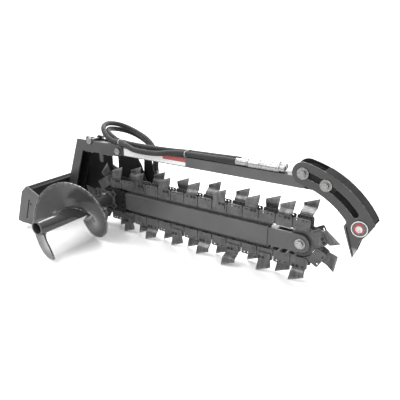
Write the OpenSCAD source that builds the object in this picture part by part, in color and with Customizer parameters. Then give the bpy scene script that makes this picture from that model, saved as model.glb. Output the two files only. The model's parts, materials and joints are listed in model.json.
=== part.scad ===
// Trencher attachment for a compact loader: digging chain on a boom, side auger and crumber bar.
// +X runs along the boom from the quick-attach plate to the nose, -Y is the auger side, +Z is up.
// The origin is the middle of the quick-attach plate's rear face.

/* [Digging chain] */
// Distance between neighbouring chain pins
pitch = 42; // [42:0.1:42.2]
// Height of an outer side plate
link_h = 54.6; // [50:0.2:54.6]
// Thickness of a side plate
link_t = 6; // [5:0.5:6]
// Radius of a chain pin
chain_pin_r = 7; // [6:0.5:7]
// Radius of a chain roller
roller_r = 11.8; // [11:0.1:11.8]
// How far a tooth tip stands out from the pin line
tooth_h = 113.4; // [105:0.2:113.4]
// Width of a tooth at its base
tooth_base_w = 62; // [56:1:64]
// Width of a tooth at its tip
tooth_tip_w = 75; // [68:1:76]

/* [Boom] */
// Height of the boom tube
boom_h = 96; // [94:1:97]
// Width of the boom tube
boom_w = 63.5; // [63:0.5:64]
// Wall of the boom tube
boom_wall = 4.75; // [4.5:0.05:4.8]

/* [Auger] */
// Radius of the flighting
flight_r = 177.5; // [150:0.5:180]
// Advance of the flighting in one turn
flight_pitch = 323; // [300:1:330]
// Turns of flighting
flight_turns = 1.2; // [1:0.05:1.25]
// Outer radius of the auger tube
tube_r = 38; // [37.5:0.5:39]
// Reach of the auger tube's open end from the boom's middle plane
auger_reach = 549; // [540:1:560]

/* [Quick-attach plate] */
// Backward lean of the plate in degrees
mount_tilt = 20; // [19:0.5:21]
// Width of the plate
mount_w = 634; // [600:2:650]
// Height of the plate
mount_h = 235; // [230:1:240]
// Thickness of the plate
mount_t = 12; // [10:1:12]

/* [Crumber] */
// Height of the crumber arm tube
arm_h = 50; // [48:1:50]
// Width of the crumber arm tube
arm_w = 63.5; // [62:0.5:63.5]
// Radius of the adjusting slot's middle line
slot_R = 419.5; // [418:0.5:421]
// Half of the crumber plate's width
band_half = 50.5; // [48:0.5:51]

/* [Hidden] */

$fn = 48;
eps = 0.05;         // running clearance on a radius
snug = 0.02;        // clearance of pieces that are held still
big = 1000;

// Layout of the drive
drive_x = 370;
axis_z = 30;
straight_links = 27;
nose_x = drive_x + straight_links * pitch;
wrap_step = 30;                                    // the chain turns 30 degrees at each pin
flat_r = pitch / 2 / tan(wrap_step / 2);           // from an axle to the middle of a link
link_count = 2 * straight_links + 12;
nose_top = 180 / wrap_step;                        // links from the top to the bottom of the nose
link_len = 2 * pitch - 4;
link_low = -12;                                    // inner edge of a side plate, below the pin line
outer_y = 22;                                      // inner faces of the outer side plates
inner_y = 15.8;                                    // inner faces of the inner side plates
shaft_r = 25;
side_in = 32.25;                                   // inner faces of the plates beside the arm
side_t = 7.75;
head_in = 32;
head_t = 10;
main_y = 66;
main_t = 10;
dark = [0.2, 0.2, 0.21];
steel = [0.3, 0.3, 0.31];
bright = [0.78, 0.78, 0.8];

// A plate in the X-Z plane that starts at y0 and is t thick
module xz_plate(y0, t) {
    translate([0, y0 + t, 0]) rotate([90, 0, 0]) linear_extrude(t) children();
}

// A round bar along Y from y0 to y1
module y_bar(r, y0, y1) {
    translate([0, y0, 0]) rotate([-90, 0, 0]) cylinder(r = r, h = y1 - y0);
}

// A ring along Y
module y_ring(r_out, r_in, y0, y1) {
    difference() {
        y_bar(r_out, y0, y1);
        y_bar(r_in, y0 - 1, y1 + 1);
    }
}

module at_drive() translate([drive_x, 0, axis_z]) children();
module at_nose() translate([nose_x, 0, axis_z]) children();
module at_mount() rotate([0, mount_tilt, 0]) children();

// Corners of a rectangle from a to b with corners of radius r, each in steps of 30 degrees
function round_box(a, b, r) = [
    for (q = [[b.x - r, b.y - r, 0], [a.x + r, b.y - r, 90], [a.x + r, a.y + r, 180], [b.x - r, a.y + r, 270]])
        for (s = [0:30:90]) [q[0] + r * cos(q[2] + s), q[1] + r * sin(q[2] + s)]];

// ---------------------------------------------------------------- quick-attach plate

// The rear face stands 1 mm proud between the hook and the ledge, where the loader's plate rests
pad_t = 1;
pad_v = [-mount_h / 2 + mount_t + 0.5, mount_h / 2 - 18];
module mount_plate() color(dark) at_mount() {
    translate([pad_t, -mount_w / 2, -mount_h / 2]) cube([mount_t - pad_t, mount_w, mount_h]);
    translate([0, -mount_w / 2 + 0.5, pad_v[0]]) cube([pad_t, mount_w - 1, pad_v[1] - pad_v[0]]);
}

// Lip over the loader's plate: it leans back from the top edge and turns down
hook_out = 24;
hook_t = 10;
module mount_hook() color(dark) at_mount()
    xz_plate(-mount_w / 2, mount_w) polygon([[pad_t, mount_h / 2], [pad_t, mount_h / 2 - hook_t * 1.4],
        [0, mount_h / 2 - hook_t * 1.4],
        [-hook_out, mount_h / 2 - hook_out * 0.6], [-hook_out, mount_h / 2 - hook_out * 1.1],
        [-hook_out - hook_t, mount_h / 2 - hook_out * 1.1], [-hook_out - hook_t, mount_h / 2 - hook_out * 0.45],
        [-hook_t, mount_h / 2]]);

// Ledge with the two locking pin holes
ledge_out = 54;
lock_hole_r = 15;
lock_hole_u = -34;
lock_hole_y = 210;
module mount_ledge() color(dark) at_mount() difference() {
    translate([-ledge_out, -mount_w / 2, -mount_h / 2]) cube([ledge_out + pad_t, mount_w, mount_t]);
    for (s = [-1, 1])
        translate([lock_hole_u, s * lock_hole_y, -mount_h / 2 - 1]) cylinder(r = lock_hole_r, h = mount_t + 2);
}

// End plate: a deep cheek in front of the attach plate and a flange behind it
end_t = 10;
end_back = 50;
end_front = 130;
module mount_end(y0) color(dark) at_mount() xz_plate(y0, end_t) difference() {
    polygon([[-end_back, -130], [-end_back, 70], [-22, 119], [end_front, mount_h / 2 - 4], [end_front, -62],
        [75, -89], [31, -105], [-9, -123]]);
    translate([mount_t + 0.5, -74]) square([10, 127]);
    translate([34, 32]) circle(r = 6);
}
module mount_end_near() mount_end(-mount_w / 2 - end_t);
module mount_end_far() mount_end(mount_w / 2);

// ---------------------------------------------------------------- frame beside the chain

// A point given by its distances in front of and up the attach plate's rear face
function from_mount(u, v) = [u * cos(mount_tilt) + v * sin(mount_tilt), v * cos(mount_tilt) - u * sin(mount_tilt)];
pivot_x = 456;
pivot_z = 317;
pivot_r = 12;
rod_x = 247;
rod_r = 8;
arm_z0 = pivot_z - arm_h / 2;
arm_top = pivot_z + arm_h / 2;
rod_z = arm_top + rod_r + 0.3;
leg_w = 60;
side_top = 350;
side_low = 286;

// L-shaped plate: a leaning leg on the attach plate and an arm that carries the pivot
module side_plate(y0) color(dark) xz_plate(y0, side_t) difference() {
    union() {
        polygon([from_mount(mount_t, -95), from_mount(mount_t + leg_w, -95), [184, side_low],
            [pivot_x - 10, side_low], [pivot_x, side_low + 1], [pivot_x + 26, 300], [pivot_x + 32, pivot_z],
            [pivot_x + 24, side_top - 8], [pivot_x + 8, side_top], [146, side_top]]);
        translate([rod_x, rod_z]) circle(r = 18);
    }
    translate([pivot_x, pivot_z]) circle(r = pivot_r + snug);
    translate([rod_x, rod_z]) circle(r = rod_r + snug);
}
module side_plate_near() side_plate(-side_in - side_t);
module side_plate_far() side_plate(side_in);

// Plate between the two legs
back_t = 8;
module back_plate() color(dark) at_mount()
    translate([mount_t + 2, -side_in + snug, -95]) cube([back_t, 2 * (side_in - snug), 420]);

// Main plate on the motor side: it joins the attach plate, the drive head and the arm's far side
notch_x = [304, 354];
module main_plate() color(dark) xz_plate(main_y, main_t) difference() {
    polygon([from_mount(mount_t + snug, -95), [300, -48], [575, -48], [582, 40], [574, 100], [545, 152], [524, 219],
        [492, 266], [notch_x[1], 266], [notch_x[1], 190], [344, 174], [329, 168], [314, 174], [notch_x[0], 190],
        [notch_x[0], 284], [168, 284], from_mount(mount_t + snug, 135)]);
    translate([drive_x, axis_z]) circle(r = shaft_r + eps);
}

// Spacer plate between the far side plate and the main plate
module arm_bridge() color(dark)
    xz_plate(side_in + side_t, main_y - side_in - side_t) polygon([[396, 252], [410, 252], [486, 272], [486, 282],
        [404, 282], [396, 274]]);

// Rounded tab that guides the tail of the arm
module tail_tab() color(steel) xz_plate(-side_in - side_t, side_t) {
    translate([314, 250]) square([26, side_low - 250]);
    translate([327, 250]) circle(r = 13);
}

// ---------------------------------------------------------------- drive head

root_x = 462;
head_h = 124;
module head_plate(y0) color(dark) xz_plate(y0, head_t) difference() {
    union() {
        translate([drive_x, axis_z]) circle(r = head_h / 2);
        translate([drive_x, axis_z - head_h / 2]) square([root_x + 20 - drive_x, head_h]);
    }
    translate([drive_x, axis_z]) circle(r = shaft_r + eps);
    for (z = head_bolt_zs) translate([head_bolt_x, axis_z + z]) circle(r = head_bolt_r + snug);
}
head_bolt_zs = [-45, -15, 18, 48];
head_bolt_x = root_x + 9;
head_bolt_r = 6;
module head_plate_near() head_plate(-head_in - head_t);
module head_plate_far() head_plate(head_in);

// Housing between the far head plate and the main plate
housing_r = 60;
module hub_housing() color(dark) at_drive() y_ring(housing_r, shaft_r + eps, head_in + head_t, main_y);

// Flanged bearing on the auger side
bearing_r = 46;
bearing_t = 12;
module near_bearing() color(steel) at_drive() difference() {
    union() {
        y_bar(bearing_r - 10, -head_in - head_t - bearing_t, -head_in - head_t);
        xz_plate(-head_in - head_t - 7, 7) {
            circle(r = bearing_r);
            for (a = [45, 135]) rotate(a) square([130, 34], center = true);
        }
    }
    y_bar(shaft_r + eps, -big, big);
}

// Bolts that hold the head plates to the boom root, and the bearing's four bolts
module head_bolt(y0, len, head) {
    y_bar(head_bolt_r, y0, y0 + len);
    translate([0, head < 0 ? y0 - 6 : y0 + len, 0]) rotate([-90, 0, 0]) cylinder(r = 10, h = 6, $fn = 6);
}
module head_bolts() color(bright) {
    for (z = head_bolt_zs) {
        translate([head_bolt_x, 0, axis_z + z]) head_bolt(-head_in - head_t, head_t, -1);
        translate([head_bolt_x, 0, axis_z + z]) head_bolt(head_in, head_t, 1);
    }
    at_drive() for (a = [45:90:315]) rotate([0, a, 0])
        translate([52, -head_in - head_t - 13, 0]) rotate([-90, 0, 0]) cylinder(r = 8, h = 6, $fn = 6);
}

// Solid end of the boom that the head plates are bolted to
plug_gap = 0.1;
module boom_root() color(dark) translate([0, 0, axis_z]) difference() {
    union() {
        translate([root_x, -head_in, -boom_h / 2]) cube([20, 2 * head_in, boom_h]);
        translate([root_x + 20, -boom_w / 2 + boom_wall + plug_gap, -boom_h / 2 + boom_wall + plug_gap])
            cube([60, boom_w - 2 * (boom_wall + plug_gap), boom_h - 2 * (boom_wall + plug_gap)]);
    }
}

// Hydraulic motor on the far side
motor_flange = 124;
motor_r = 54;
motor_len = 150;
motor_y = main_y + main_t;
module motor_body() color(dark) at_drive() difference() {
    union() {
        xz_plate(motor_y, 16) polygon(round_box([-motor_flange / 2, -motor_flange / 2],
            [motor_flange / 2, motor_flange / 2], 16));
        y_bar(motor_r, motor_y, motor_y + motor_len);
        y_bar(motor_r - 14, motor_y, motor_y + motor_len + 10);
    }
    y_bar(shaft_r + eps, motor_y - 1, motor_y + 40);
    for (a = [45:90:315]) rotate([0, a, 0]) translate([70, 0, 0]) y_bar(6 + snug, motor_y - 1, motor_y + 17);
}
module motor_bolts() color(bright) at_drive() {
    for (a = [45:90:315]) rotate([0, a, 0]) translate([70, 0, 0]) {
        y_bar(6, motor_y, motor_y + 16);
        translate([0, motor_y + 16, 0]) rotate([-90, 0, 0]) cylinder(r = 10, h = 8, $fn = 6);
    }
}

// Relief valve block in front of the motor, with a port for each hose
port_x = [570, 534];
port_y = [142, 178];
block_z = [axis_z - 22, axis_z + 60];
module valve_block() color(steel) difference() {
    translate([drive_x + motor_r - 8, 116, block_z[0]])
        cube([592 - drive_x - motor_r + 8, 88, block_z[1] - block_z[0]]);
    translate([drive_x, 0, axis_z]) y_bar(motor_r + snug, 0, 300);
}
port_r = 14;
port_len = 34;
ferrule_r = 18;
ferrule_len = 62;
hose_start_z = block_z[1] + port_len + ferrule_len;
module port_adapters() color(bright) for (k = [0, 1]) translate([port_x[k], port_y[k], block_z[1]]) {
    cylinder(r = port_r, h = port_len);
    translate([0, 0, 6]) cylinder(r = 19, h = 16, $fn = 6);
    translate([0, 0, port_len]) cylinder(r = ferrule_r, h = ferrule_len);
}

// Post that steadies the hoses
module hose_post() color(dark) {
    xz_plate(100, 8) polygon([[512, 86], [586, 86], [590, 168], [563, 262], [518, 262], [511, 150]]);
    translate([540, 0, 110]) y_bar(12, motor_y, 100);
}

// ---------------------------------------------------------------- boom

boom_x0 = root_x + 20;
boom_x1 = nose_x - 158;
module boom_tube() color(steel) translate([0, 0, axis_z]) difference() {
    translate([boom_x0, -boom_w / 2, -boom_h / 2]) cube([boom_x1 - boom_x0, boom_w, boom_h]);
    translate([boom_x0 - 1, -boom_w / 2 + boom_wall, -boom_h / 2 + boom_wall])
        cube([boom_x1 - boom_x0 + 2, boom_w - 2 * boom_wall, boom_h - 2 * boom_wall]);
}

// Rails that the chain's rollers run on
strip_w = 24;
strip_h = flat_r - roller_r - 0.4 - boom_h / 2;
module wear_strips() color(steel) translate([boom_x0 + 6, -strip_w / 2, axis_z]) {
    translate([0, 0, boom_h / 2]) cube([boom_x1 - boom_x0 - 6, strip_w, strip_h]);
    translate([0, 0, -boom_h / 2 - strip_h]) cube([boom_x1 - boom_x0 - 6, strip_w, strip_h]);
}

// Plug inside the boom that the tension screw pushes against
screw_r = 10;
anchor_x = nose_x - 500;
module tension_anchor() color(steel) translate([anchor_x, 0, axis_z]) difference() {
    translate([0, -boom_w / 2 + boom_wall + snug, -boom_h / 2 + boom_wall + snug])
        cube([24, boom_w - 2 * boom_wall - 2 * snug, boom_h - 2 * boom_wall - 2 * snug]);
    translate([-1, 0, 0]) rotate([0, 90, 0]) cylinder(r = screw_r + eps, h = 26);
}

// ---------------------------------------------------------------- chain

// Links are counted round the loop in the direction of travel, from the one on top of the nose
drive_low = nose_top + straight_links;
drive_top = drive_low + nose_top;
function link_x(i) = i <= nose_top ? nose_x
    : i <= drive_low ? nose_x - pitch * (i - nose_top)
    : i <= drive_top ? drive_x : drive_x + pitch * (i - drive_top);
function link_turn(i) = i <= nose_top ? wrap_step * i
    : i <= drive_low ? 180
    : i <= drive_top ? 180 + wrap_step * (i - drive_low) : 0;
module on_link(i) {
    translate([link_x(i), 0, axis_z]) rotate([0, link_turn(i), 0]) translate([0, 0, flat_r]) children();
}

// Teeth take turns on the two sides, except where the odd count meets at the sprocket
last_regular = 17;
function tooth_is_near(m) = (m <= last_regular) ? (m % 2 == 1) : (m % 2 == 0);
link_top = link_low + link_h;
hole_z = link_top - 9;
tooth_bolt_r = 4;
module outer_plate(y0) xz_plate(y0, link_t) difference() {
    polygon(round_box([-link_len / 2, link_low], [link_len / 2, link_top], 8));
    for (s = [-1, 1]) translate([s * pitch / 2, 0]) circle(r = chain_pin_r + snug, $fn = 24);
    translate([-26, hole_z - 3]) square([13, 6]);
    for (x = [6, 24]) translate([x, hole_z]) circle(r = tooth_bolt_r + snug, $fn = 16);
}
module chain_outer_near() color(steel)
    for (i = [0:2:link_count - 1]) on_link(i) outer_plate(-outer_y - link_t);
module chain_outer_far() color(steel)
    for (i = [0:2:link_count - 1]) on_link(i) outer_plate(outer_y);

module inner_plate(y0) xz_plate(y0, link_t) difference() {
    polygon(round_box([-pitch / 2 - 16, link_low], [pitch / 2 + 16, -link_low], 10));
    for (s = [-1, 1]) translate([s * pitch / 2, 0]) circle(r = chain_pin_r + eps, $fn = 24);
}
module chain_inner() color(steel)
    for (i = [1:2:link_count - 1]) on_link(i) {
        inner_plate(-inner_y - link_t);
        inner_plate(inner_y);
    }

pin_end = outer_y + link_t + 1;
module chain_pins() color(steel)
    for (i = [0:2:link_count - 1]) on_link(i)
        for (s = [-1, 1]) translate([s * pitch / 2, 0, 0]) rotate([0, 7.5, 0]) y_bar(chain_pin_r, -pin_end, pin_end);
module chain_rollers() color(steel)
    for (i = [0:2:link_count - 1]) on_link(i)
        for (s = [-1, 1]) translate([s * pitch / 2, 0, 0])
            y_ring(roller_r, chain_pin_r + eps, -inner_y + 0.3, inner_y - 0.3);

// Where each tooth's tip cuts: its distance from the middle of the chain
tip_y = [76, 61, 41, 32, 10, 26, 46, 72, 20, 40, 6, 26, 20, 40, 10, 24, 40, 24, 30, 20, 14, 46, 36, 42, 24, 22,
    4, 62, 36, 46, 16, 26, 0];
// These teeth sit inside their side plate, and the others outside it
inside_teeth = [3, 4, 8, 9, 10, 12, 13, 14, 20, 26, 30, 32];
function is_inside(m) = len([for (k = inside_teeth) if (k == m) k]) > 0;
function base_y(m) = is_inside(m) ? outer_y - tooth_t / 2 : outer_y + link_t + tooth_t / 2;

// A tooth: a flat base on the side plate, a bend to its own cutting line, and a slanted tip
tooth_t = 6;
base_low = 8;
inside_low = 20;                                   // clears the inner plates where the chain turns
bend_z = [46, 71];
tip_slant = 29.6;
function tooth_path(m) = let (s = base_y(m) - tip_y[m])
    [[0, 0], [0, bend_z[0]], [s, bend_z[1]], [s, tooth_h + 10]];   // [sideways, outwards]
function tooth_normal(p, i) = let (a = p[max(i - 1, 0)], b = p[min(i + 1, len(p) - 1)],
    d = (b - a) / norm(b - a)) [-d.y, d.x];
function tooth_edge(p, side) = [for (i = [0:len(p) - 1]) p[i] + side * tooth_t / 2 * tooth_normal(p, i)];
function reversed(p) = [for (i = [len(p) - 1:-1:0]) p[i]];
module tooth(m) difference() {
    intersection() {
        translate([-big / 2, -base_y(m), 0]) rotate([90, 0, 90])
            linear_extrude(big)
                polygon(concat(tooth_edge(tooth_path(m), 1), reversed(tooth_edge(tooth_path(m), -1))));
        xz_plate(-90, 90) polygon([[-tooth_base_w / 2, is_inside(m) ? inside_low : base_low],
            [tooth_base_w / 2, is_inside(m) ? inside_low : base_low], [tooth_base_w / 2, bend_z[0]],
            [tooth_tip_w / 2 + 6, tooth_h], [6 - tooth_tip_w / 2, tooth_h - tip_slant],
            [-tooth_base_w / 2 + 1, bend_z[0]]]);
    }
    for (x = [6, 24]) translate([x, 0, hole_z]) y_bar(tooth_bolt_r + snug, -60, 0, $fn = 16);
}
module teeth_near() color(steel)
    for (m = [0:link_count / 2 - 1]) if (tooth_is_near(m)) on_link(2 * m) tooth(m);
module teeth_far() color(steel)
    for (m = [0:link_count / 2 - 1]) if (!tooth_is_near(m)) on_link(2 * m) mirror([0, 1, 0]) tooth(m);

// A bolt through the side plate and the tooth, with its head on the outside
module tooth_bolt(m) let (out = is_inside(m) ? outer_y + link_t : outer_y + link_t + tooth_t) {
    y_bar(tooth_bolt_r, -out, -out + link_t + tooth_t);
    y_bar(7, -out - 3, -out);
}
module tooth_bolts() color(bright)
    for (m = [0:link_count / 2 - 1]) on_link(2 * m) mirror([0, tooth_is_near(m) ? 0 : 1, 0])
        for (x = [6, 24]) translate([x, 0, hole_z]) tooth_bolt(m);

// ---------------------------------------------------------------- drive shaft and auger

hub_y = 62;
shaft_in = 130;
module drive_shaft() color(steel) at_drive() y_bar(shaft_r, -shaft_in, motor_y + 36);

// Sprocket with short teeth that stay inside the chain
sprocket_tip = 65;
sprocket_root = 58;
sprocket_n = 12;
module drive_sprocket() color(steel) at_drive() difference() {
    union() {
        y_bar(sprocket_root, -11, 11);
        y_bar(38, -26, 26);
        for (k = [0:sprocket_n - 1]) rotate([0, 360 / sprocket_n * k, 0])
            xz_plate(-11, 22) polygon([[50, -11], [50, 11], [sprocket_tip - 2, 6], [sprocket_tip - 2, -6]]);
    }
    y_bar(shaft_r + snug, -40, 40);
}

bore_r = 28;
module auger_tube() color(dark) at_drive() difference() {
    y_bar(tube_r, -auger_reach, -hub_y);
    y_bar(bore_r, -auger_reach - 1, -hub_y + 1);
    translate([0, -85, -60]) cylinder(r = 8 + snug, h = 120);
}
module auger_hub() color(steel) at_drive() difference() {
    y_ring(bore_r - snug, shaft_r + snug, -shaft_in + 4, -hub_y);
    translate([0, -85, -60]) cylinder(r = 8 + snug, h = 120);
}
module auger_bolt() color(bright) at_drive() translate([0, -85, 0]) {
    for (s = [-1, 1]) translate([0, 0, s < 0 ? -tube_r : shaft_r]) cylinder(r = 8, h = tube_r - shaft_r);
    translate([0, 0, -tube_r - 11]) cylinder(r = 14, h = 11, $fn = 6);
    translate([0, 0, tube_r]) cylinder(r = 14, h = 9, $fn = 6);
}

// Flighting: straight radial lines that turn and advance along the tube
flight_t = 8;
flight_start = -62;
flight_y0 = -531;
flight_steps = 48;
flight_in = tube_r + 0.15;
function flight_point(i, r, side) = let (s = i / flight_steps, a = flight_start - 360 * flight_turns * s)
    [r * cos(a), flight_y0 + flight_pitch * flight_turns * s + side * flight_t, r * sin(a)];
module auger_flight() color(dark) at_drive() polyhedron(
    points = [for (i = [0:flight_steps]) for (c = [[flight_in, 0], [flight_r, 0], [flight_r, 1], [flight_in, 1]])
        flight_point(i, c[0], c[1])],
    faces = concat([[3, 2, 1, 0]], [[for (c = [0:3]) 4 * flight_steps + c]],
        [for (i = [0:flight_steps - 1]) for (c = [0:3]) each [
            [4 * i + c, 4 * i + (c + 1) % 4, 4 * i + 4 + (c + 1) % 4],
            [4 * i + c, 4 * i + 4 + (c + 1) % 4, 4 * i + 4 + c]]]),
    convexity = 8);

// ---------------------------------------------------------------- nose

fork_out = boom_w / 2 - boom_wall - 0.1;
fork_in = 14;
fork_r = boom_h / 2 - boom_wall - 0.25;
fork_back = 330;
axle_r = 16;
module nose_fork() color(steel) at_nose() difference() {
    union() {
        for (y0 = [-fork_out, fork_in]) xz_plate(y0, fork_out - fork_in) {
            circle(r = fork_r);
            translate([-fork_back, -fork_r]) square([fork_back, 2 * fork_r]);
        }
        xz_plate(-fork_in, 2 * fork_in) polygon([[-fork_back, -fork_r], [-92, -fork_r], [-92, fork_r - 22],
            [-118, fork_r], [-fork_back, fork_r]]);
    }
    y_bar(axle_r + snug, -60, 60);
    translate([-fork_back - 1, 0, 0]) rotate([0, 90, 0]) cylinder(r = screw_r + snug, h = 60);
}

washer_r = 25;
module idler_axle() color(bright) at_nose() {
    y_bar(axle_r, -fork_out - 10, fork_out + 10);
    y_bar(washer_r, -fork_out - 5, -fork_out);
    y_bar(washer_r, fork_out, fork_out + 5);
    for (y0 = [-fork_out - 16, fork_out + 5]) translate([0, y0, 0]) rotate([-90, 0, 0])
        cylinder(r = 18, h = 11, $fn = 6);
}

// Screw that pushes the fork out against the anchor
module tension_screw() color(bright) translate([0, 0, axis_z]) {
    translate([anchor_x - 60, 0, 0]) rotate([0, 90, 0])
        cylinder(r = screw_r, h = nose_x - fork_back + 50 - anchor_x + 60);
    translate([nose_x - fork_back - 24, 0, 0]) rotate([0, 90, 0]) cylinder(r = 18, h = 22, $fn = 6);
}

drum_r = 64.5;
drum_half = 13.2;
bush_r = 22;
module idler_roller() color(steel) at_nose() difference() {
    y_bar(drum_r, -drum_half, drum_half);
    y_bar(bush_r + snug, -40, 40);
    for (s = [-1, 1]) y_ring(drum_r - 12, bush_r + 8, s < 0 ? -40 : drum_half - 4, s < 0 ? -drum_half + 4 : 40);
}
module idler_bush() color(bright) at_nose() y_ring(bush_r, axle_r + eps, -drum_half, drum_half);

// ---------------------------------------------------------------- crumber arm

arm_x0 = 238;
arm_x1 = 1505;
arm_wall = 4;
bush_out = 17;
module arm_tube() color(steel) difference() {
    translate([arm_x0, -arm_w / 2, arm_z0]) cube([arm_x1 - arm_x0, arm_w, arm_h]);
    translate([arm_x0 - 1, -arm_w / 2 + arm_wall, arm_z0 + arm_wall])
        cube([arm_x1 - arm_x0 + 2, arm_w - 2 * arm_wall, arm_h - 2 * arm_wall]);
    translate([pivot_x, 0, pivot_z]) y_bar(bush_out + snug, -60, 60);
}
module arm_bush() color(bright) translate([pivot_x, 0, pivot_z])
    y_ring(bush_out, pivot_r + eps, -arm_w / 2, arm_w / 2);

// Bolt through both side plates: the arm swings on it
side_out = side_in + side_t;
module arm_pivot_bolt() color(bright) translate([pivot_x, 0, pivot_z]) {
    y_bar(pivot_r, -side_out, side_out + 4);
    translate([0, -side_out - 12, 0]) rotate([-90, 0, 0]) cylinder(r = 20, h = 12, $fn = 6);
    translate([0, side_out, 0]) rotate([-90, 0, 0]) cylinder(r = 20, h = 14, $fn = 6);
}

// Rod over the arm's tail, which the arm rests against
module arm_stop_rod() color(bright) translate([rod_x, 0, rod_z]) {
    y_bar(rod_r, -side_out, side_out + 22);
    y_bar(19, -side_out - 9, -side_out);
    y_bar(16, side_out, side_out + 12);
    y_bar(12, side_out + 12, side_out + 24);
}

// Plain striped panel on the arm's near face
module arm_decal() color("white")
    translate([490, -arm_w / 2 - 0.6, arm_z0 + 5]) cube([400, 0.6, arm_h - 12]);

// Crumber slot geometry: its middle is where the crumber turns
crumb_x = 1411;
crumb_z = -51;
function on_arc(r, a) = [crumb_x + r * cos(a), crumb_z + r * sin(a)];
head_a = 78.3;
bolt_a = 63.4;
slot_end_a = 40.5;
slot_half = 13.5;
crumb_bolt_r = 12;
crumb_in = 32;
crumb_t = 6;

// Cheeks at the end of the arm that hold the two clamping bolts
module arm_end_bracket() color(steel) difference() {
    union() {
        translate([arm_x1 - 75, -arm_w / 2 + arm_wall + plug_gap, arm_z0 + arm_wall + plug_gap])
            cube([100, arm_w - 2 * (arm_wall + plug_gap), arm_h - 2 * (arm_wall + plug_gap)]);
        for (y0 = [-31.5, 20]) xz_plate(y0, 11.5)
            polygon([[arm_x1 + 0.1, arm_z0], [1625, arm_z0], [1645, arm_z0 + 20], [1645, 335], [1600, 365],
                [1530, 392], [1480, 392], [1458, 372], [1458, arm_top + 0.1], [arm_x1 + 0.1, arm_top + 0.1]]);
    }
    for (a = [head_a, bolt_a]) translate([on_arc(slot_R, a)[0], 0, on_arc(slot_R, a)[1]])
        y_bar(crumb_bolt_r + snug, -60, 60);
}
module crumber_bolts() color(bright)
    for (a = [head_a, bolt_a]) translate([on_arc(slot_R, a)[0], 0, on_arc(slot_R, a)[1]]) {
        y_bar(crumb_bolt_r, -45, 45);
        for (s = [-1, 1]) mirror([0, s < 0 ? 0 : 1, 0]) {
            y_bar(26.5, -42.2, -38.2);
            translate([0, -52, 0]) rotate([-90, 0, 0]) cylinder(r = 15, h = 10, $fn = 6);
        }
    }

// A wedge of the plane between two angles about the slot's middle
function wedge(a0, a1) = [on_arc(0, 0), on_arc(big, a0), on_arc(big, a1)];
crumb_low_a = 31;
module crumber_outline() difference() {
    union() {
        intersection() {
            difference() {
                translate([crumb_x, crumb_z]) circle(r = slot_R + band_half, $fn = 160);
                translate([crumb_x, crumb_z]) circle(r = slot_R - band_half, $fn = 160);
            }
            polygon(wedge(crumb_low_a, head_a));
        }
        translate(on_arc(slot_R, head_a)) circle(r = band_half);
        polygon([on_arc(slot_R - band_half, 39.5), [1697, 166], [1741, 36], [1750, 70], [1762, 112], [1784, 140],
            on_arc(slot_R + band_half, crumb_low_a)]);
    }
    intersection() {
        difference() {
            translate([crumb_x, crumb_z]) circle(r = slot_R + slot_half, $fn = 160);
            translate([crumb_x, crumb_z]) circle(r = slot_R - slot_half, $fn = 160);
        }
        polygon(wedge(slot_end_a, head_a));
    }
    for (a = [slot_end_a, head_a]) translate(on_arc(slot_R, a)) circle(r = slot_half);
}
module crumber_plate_near() color(dark) xz_plate(-crumb_in - crumb_t, crumb_t) crumber_outline();
module crumber_plate_far() color(dark) xz_plate(crumb_in, crumb_t) crumber_outline();

// Curved plate that closes the back of the crumber
rim_t = 7;
module crumber_rim() color(dark) xz_plate(-crumb_in, 2 * crumb_in) intersection() {
    difference() {
        translate([crumb_x, crumb_z]) circle(r = slot_R + band_half, $fn = 160);
        translate([crumb_x, crumb_z]) circle(r = slot_R + band_half - rim_t, $fn = 160);
    }
    polygon(wedge(crumb_low_a + 1, 68));
}

// Scraping blade along the front edge
module crumber_shoe() color(steel)
    xz_plate(-45, 90) polygon([[1688, 166], [1696.9, 166], [1740.9, 36], [1738, 30]]);

cap_x = 1754;
cap_z = 166;
module crumber_cap() color(bright) translate([cap_x, 0, cap_z]) {
    y_bar(34, -crumb_in - crumb_t - 7, -crumb_in - crumb_t);
    y_bar(15, -crumb_in - crumb_t - 10, -crumb_in - crumb_t - 7);
}

// ---------------------------------------------------------------- hoses

// Routes as [x, y, z] from the port ferrules up, round the loop and along the arm
hose_r = 14;
route_pressure = [[570, 142, hose_start_z], [570, 142, 204], [569, 144, 230], [562, 150, 262], [543, 163, 294],
    [516, 177, 318], [484, 189, 335], [451, 199, 348], [417, 207, 358], [380, 212, 369], [341, 211, 382],
    [306, 198, 397], [279, 173, 411], [264, 139, 421], [261, 99, 426], [271, 59, 422], [295, 25, 411],
    [325, 3, 393], [358, -9, 375], [394, -14, 363], [430, -18, 362], [475, -30, 364], [520, -41, 356],
    [565, -47, 344], [620, -47, 339], [680, -47, 340], [740, -47, 345], [790, -43, 354], [840, -31, 358],
    [888, -23, 358], [940, -20, 358], [1030, -20, 359], [1120, -20, 361], [1169, -20, 361]];
route_return = [[534, 178, hose_start_z], [534, 178, 204], [532, 182, 230], [525, 190, 259], [506, 200, 284],
    [477, 212, 303], [447, 222, 314], [416, 232, 322], [378, 240, 334], [332, 236, 351], [294, 215, 367],
    [270, 178, 380], [262, 136, 390], [270, 96, 395], [298, 58, 391], [333, 36, 383], [370, 24, 371],
    [404, 17, 361], [442, 10, 358], [485, 2, 357], [540, -5, 357], [600, -10, 357], [661, -12, 357],
    [740, -8, 357], [812, 0, 357], [870, 8, 358], [930, 14, 358], [1040, 17, 359], [1130, 18, 361],
    [1180, 18, 361]];
hose_sides = 8;
function unit(v) = v / norm(v);
function along(p, i) = unit(p[min(i + 1, len(p) - 1)] - p[max(i - 1, 0)]);
function side_of(d) = unit(cross(d, abs(d.z) > 0.8 ? [1, 0, 0] : [0, 0, 1]));
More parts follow.
